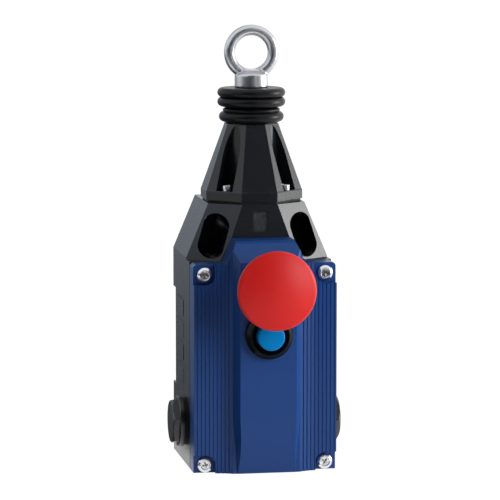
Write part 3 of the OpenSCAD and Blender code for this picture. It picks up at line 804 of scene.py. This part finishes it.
def placeCopies(name, mesh, places, material):
    shape = bmesh.new()
    for place in places:
        copy = mesh.copy()
        copy.transform(place)
        shape.from_mesh(copy)
        bpy.data.meshes.remove(copy)
    joined = bpy.data.meshes.new(name)
    shape.to_mesh(joined)
    shape.free()
    piece = meshPiece(name, joined)
    paint([piece], material)
    return piece


def makeCoverScrews():
    s = coverScrewSettings
    low, high = size("cover_screws")
    x = high.x - s["headR"]
    seatY = low.y + s["headH"]
    mesh = screwMesh("coverScrew", s, high.y - seatY)
    spots = [(sx * x, z) for sx in (-1, 1) for z in (low.z + s["headR"], high.z - s["headR"])]
    places = [alongY(px * mm, seatY * mm, pz * mm) @ Matrix.Rotation(math.radians(turn), 4, "Z")
              for (px, pz), turn in zip(spots, s["turns"])]
    piece = placeCopies("coverScrews", mesh, places, zincPlate)
    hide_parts("cover_screws")
    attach(piece, "switch_housing")


def makeHoodScrews():
    s = hoodScrewSettings
    low, high = size("hood_screws")
    reach = high.x - s["headR"]
    seatZ = high.z - s["headH"]
    outline = filleted([
        (0, s["headH"] - s["socketDepth"], 0), (s["socket"], s["headH"] - s["socketDepth"], 0),
        (s["socket"], s["headH"], s["socketRound"]), (s["headR"], s["headH"], s["headRound"]),
        (s["headR"], 0, s["edgeRound"]), (s["shankR"], 0, 0),
        (s["shankR"], low.z - seatZ, s["tipRound"]), (0, low.z - seatZ, 0)])
    places = [Matrix.Translation((sx * reach * mm, sy * reach * mm, seatZ * mm))
              for sx in (-1, 1) for sy in (-1, 1)]
    mesh = turnedMesh("hoodScrews", outline, places, segments=48)
    piece = meshPiece("hoodScrews", mesh)
    paint([piece], zincPlate)
    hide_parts("hood_screws")
    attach(piece, "switch_housing")


makeCoverScrews()
makeHoodScrews()
print("plugs and screws made")


# studio: pale floor, soft lamps and the camera

studio = {
    # soft light of the room: dim in front, bright behind, and where the change starts and ends
    "roomFront": 0.08, "roomBack": 0.95, "roomEnds": (-0.2, 0.6),
    "aim": (0, 0, 0.115),
    # name: power in watts, width and height in metres, place
    "lamps": {
        "keyLamp": (13.0, (0.5, 1.0), (0.84, -0.98, 0.50)),
        "rightStrip": (13.0, (0.5, 0.8), (1.30, -0.08, 0.20)),
        "leftBack": (5.0, (0.5, 0.8), (-0.60, 1.20, 0.35)),
    },
    # cards that only gloss and metal see: corners in metres, the axis of their gradient,
    # its ends in metres and the glow at each end
    "cards": {
        "blackCard": ([(-2.2, -0.38, 0.001), (0.85, -0.38, 0.001), (0.85, -0.38, 0.58),
                       (-2.2, -0.38, 0.58)], "Z", (0, 1), (0.0, 0.0)),
        "leftCard": ([(-1.1, -0.375, 0.32), (-0.3, -0.375, 0.32), (-0.3, -0.375, 0.9),
                      (-1.1, -0.375, 0.9)], "Z", (0, 1), (1.3, 1.3)),
        "eyeCard": ([(-0.85, -0.37, 0.12), (0.85, -0.37, 0.12), (0.85, -0.37, 0.155),
                     (-0.85, -0.37, 0.155)], "Z", (0, 1), (0.32, 0.32)),
        "greyFloor": ([(-1.5, -0.08, 0.0012), (-0.0445, -0.08, 0.0012), (-0.0445, 1.0, 0.0012),
                       (-1.5, 1.0, 0.0012)], "Y", (0.05, 0.9), (0.12, 0.34)),
        "greyWall": ([(-1.5, 1.0, 0.001), (0.03, 1.0, 0.001), (0.03, 1.0, 0.85),
                      (-1.5, 1.0, 0.85)], "Z", (0, 0.4), (0.34, 0.8)),
        "highWall": ([(-1.5, 1.0, 0.85), (0.03, 1.0, 0.85), (0.03, 1.0, 1.9),
                      (-1.5, 1.0, 1.9)], "Z", (0, 1), (0.4, 0.4)),
    },
    "cardTint": "#E8F1FF",
    "paper": {"reach": 6.0, "fibreMm": 2.5, "colour": "#E4E4E4", "fleck": "#EAEAEA",
              "shade": 0.2, "glow": 0.95},
}
# degrees, metres and millimetres
cameraSettings = {"azimuth": -9.75, "elevation": 6.78, "distance": 1.6, "lens": 220.1,
                  "sensor": 36.0, "shiftX": -0.0026, "shiftY": -0.0204}


def makeWorld():
    world = bpy.data.worlds.new("studio")
    bpy.context.scene.world = world
    world.use_nodes = True
    tree = world.node_tree
    tree.nodes.clear()
    ray = addNode(tree, "ShaderNodeLightPath").outputs
    seen = addNode(tree, "ShaderNodeMath", {"operation": "MAXIMUM"}, {
        0: ray["Is Camera Ray"], 1: ray["Is Glossy Ray"]})
    alsoSeen = addNode(tree, "ShaderNodeMath", {"operation": "MAXIMUM"}, {
        0: seen.outputs[0], 1: ray["Is Transmission Ray"]})
    way = addNode(tree, "ShaderNodeTexCoord").outputs["Generated"]  # direction in the room
    axes = addNode(tree, "ShaderNodeSeparateXYZ", inputs={"Vector": way})
    level = addNode(tree, "ShaderNodeMapRange", inputs={
        "Value": axes.outputs["Y"],
        "From Min": studio["roomEnds"][0], "From Max": studio["roomEnds"][1],
        "To Min": studio["roomFront"], "To Max": studio["roomBack"]})
    fill = addNode(tree, "ShaderNodeBackground", inputs={
        "Color": (1, 1, 1, 1), "Strength": level.outputs["Result"]})
    white = addNode(tree, "ShaderNodeBackground", inputs={"Color": (1, 1, 1, 1), "Strength": 1.0})
    both = addNode(tree, "ShaderNodeMixShader", inputs={
        0: alsoSeen.outputs[0], 1: fill.outputs[0], 2: white.outputs[0]})
    addNode(tree, "ShaderNodeOutputWorld", inputs={"Surface": both.outputs[0]})


def makeLamp(name, power, extent, place):
    lamp = bpy.data.lights.new(name, "AREA")
    lamp.shape = "RECTANGLE"
    lamp.size, lamp.size_y = extent
    lamp.energy = power
    holder = bpy.data.objects.new(name, lamp)
    holder.visible_glossy = place[1] < 0  # no streak from a lamp behind
    bpy.context.scene.collection.objects.link(holder)
    holder.location = place
    toAim = Vector(studio["aim"]) - Vector(place)
    holder.rotation_euler = toAim.to_track_quat("-Z", "Y").to_euler()


def planePiece(name, corners, material):
    mesh = bpy.data.meshes.new(name)
    mesh.from_pydata(corners, [], [(0, 1, 2, 3)])
    piece = bpy.data.objects.new(name, mesh)
    bpy.context.scene.collection.objects.link(piece)
    mesh.materials.append(material)
    return piece


# Pale paper: lit like any paper, and near white where it is looked at, with a soft shadow.
# The fibres are drawn coarse, so that they show.
def floorPaper():
    paper = studio["paper"]
    material, tree, place = startMaterial("pale backdrop paper")
    fibre = addNode(tree, "ShaderNodeTexNoise", inputs={
        "Vector": place, "Scale": 1 / (paper["fibreMm"] * mm)})
    tint = addNode(tree, "ShaderNodeMix", {"data_type": "RGBA"}, {
        "Factor": fibre.outputs["Fac"], "A": linearColour(paper["colour"]),
        "B": linearColour(paper["fleck"])})
    lit = addNode(tree, "ShaderNodeBsdfDiffuse", inputs={"Color": tint.outputs["Result"]})
    shade = addNode(tree, "ShaderNodeBsdfDiffuse", inputs={"Color": (paper["shade"],) * 3 + (1,)})
    glow = addNode(tree, "ShaderNodeEmission", inputs={
        "Color": (1, 1, 1, 1), "Strength": paper["glow"]})
    bright = addNode(tree, "ShaderNodeAddShader", inputs={0: shade.outputs[0], 1: glow.outputs[0]})
    ray = addNode(tree, "ShaderNodeLightPath").outputs
    seen = addNode(tree, "ShaderNodeMath", {"operation": "MAXIMUM"}, {
        0: ray["Is Camera Ray"], 1: ray["Is Glossy Ray"]})
    both = addNode(tree, "ShaderNodeMixShader", inputs={
        0: seen.outputs[0], 1: lit.outputs[0], 2: bright.outputs[0]})
    finishMaterial(tree, both)
    return material


# cards that stand in for the dark and the bright parts of the room, in gloss and metal only
def makeCards():
    for name, (corners, axis, ends, glows) in studio["cards"].items():
        material, tree, place = startMaterial(name)
        axes = addNode(tree, "ShaderNodeSeparateXYZ", inputs={"Vector": place})
        glow = addNode(tree, "ShaderNodeMapRange", inputs={
            "Value": axes.outputs[axis], "From Min": ends[0], "From Max": ends[1],
            "To Min": glows[0], "To Max": glows[1]})
        card = addNode(tree, "ShaderNodeEmission", inputs={
            "Color": linearColour(studio["cardTint"]), "Strength": glow.outputs["Result"]})
        finishMaterial(tree, card)
        piece = planePiece(name, corners, material)
        piece.visible_camera = False
        piece.visible_diffuse = False
        piece.visible_shadow = False


def makeCamera():
    s = cameraSettings
    a, e = math.radians(s["azimuth"]), math.radians(s["elevation"])
    back = Vector((math.sin(a) * math.cos(e), -math.cos(a) * math.cos(e), math.sin(e)))
    camera = bpy.data.cameras.new("camera")
    camera.lens = s["lens"]
    camera.sensor_width = s["sensor"]
    camera.shift_x, camera.shift_y = s["shiftX"], s["shiftY"]
    holder = bpy.data.objects.new("camera", camera)
    bpy.context.scene.collection.objects.link(holder)
    holder.location = Vector(studio["aim"]) + back * s["distance"]
    holder.rotation_euler = (-back).to_track_quat("-Z", "Y").to_euler()
    bpy.context.scene.camera = holder


makeWorld()
for name, (power, extent, place) in studio["lamps"].items():
    makeLamp(name, power, extent, place)
reach = studio["paper"]["reach"]
planePiece("floor", [(-reach, -reach, 0), (reach, -reach, 0), (reach, reach, 0),
                     (-reach, reach, 0)], floorPaper())
makeCards()
makeCamera()
bpy.context.scene.view_settings.view_transform = "Standard"
print("studio ready")
